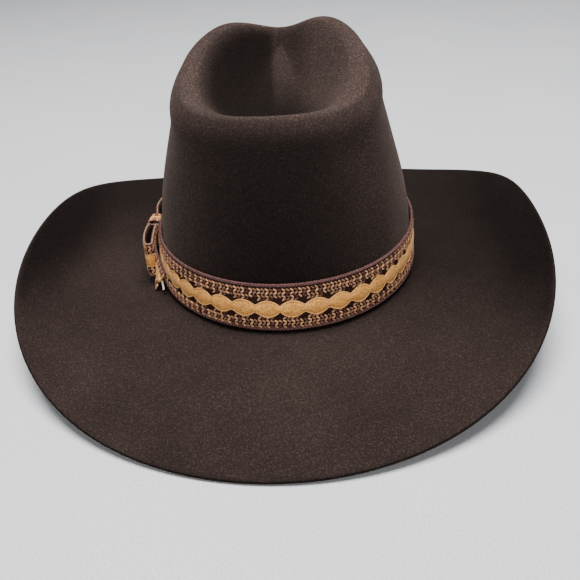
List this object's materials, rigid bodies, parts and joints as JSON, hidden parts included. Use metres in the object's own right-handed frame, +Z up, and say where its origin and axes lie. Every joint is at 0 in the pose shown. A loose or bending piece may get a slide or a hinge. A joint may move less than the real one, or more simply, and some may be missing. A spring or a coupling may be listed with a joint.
{
  "type": "cowboy hat",
  "caption": "Western felt hat: creased crown with front dents, brim rolled up at the sides, woven scalloped trim hatband with a side bow.",
  "frame": {"origin": "centre of the hat's box, on the table that the front and back brim edges touch", "axes": "+Y to the wearer's front, +X to the wearer's right, +Z up through the crown"},
  "size_m": [0.3418, 0.41, 0.1758],
  "materials": {
    "felt": "soft dark brown wool felt with a short nap",
    "sweatband": "smooth brown leather",
    "reed": "plain",
    "tape": "ribbed ribbon",
    "thread": "twisted sewing thread",
    "seam": "stitched strip",
    "ribbon": "narrow ribbon",
    "lining": "satin",
    "piping": "corded satin",
    "edge_cord": "twisted maroon cord",
    "lattice": "open lattice of tan and maroon yarn",
    "scallop": "gold scalloped braid",
    "bow": "the same woven trim, folded"
  },
  "bodies": {
    "hat": {"felt_body": "felt", "lining_side": "lining", "lining_piping": "piping", "lining_tip": "lining", "reed_tape": "tape", "sweatband_reed": "reed", "sweatband": "sweatband", "sweatband_stitches": "thread", "sweatband_seam": "seam", "sweatband_bow": "ribbon"},
    "hatband": {"band_lower_cord": "edge_cord", "band_lower_mesh": "lattice", "band_scallop_strip": "scallop", "band_upper_mesh": "lattice", "band_upper_cord": "edge_cord", "bow_knot": "bow"},
    "bow_rear": {"bow_loop_rear": "bow", "bow_tail_rear": "bow"},
    "bow_front": {"bow_loop_front": "bow", "bow_tail_front": "bow"}
  },
  "joints": [
    {"name": "hatband_lift", "type": "slide", "parent": "hat", "child": "hatband", "axis": [0, 0, 1], "range_m": [0, 0.165]},
    {"name": "bow_rear_swing", "type": "hinge", "parent": "hatband", "child": "bow_rear", "pos_m": [-0.09175, -0.008, 0.04079], "axis": [0, 0, -1], "range_deg": [0, 35], "stiffness_Nm_per_rad": 0.004},
    {"name": "bow_front_swing", "type": "hinge", "parent": "hatband", "child": "bow_front", "pos_m": [-0.09175, 0.008, 0.04079], "axis": [0, 0, 1], "range_deg": [0, 35], "stiffness_Nm_per_rad": 0.004}
  ]
}
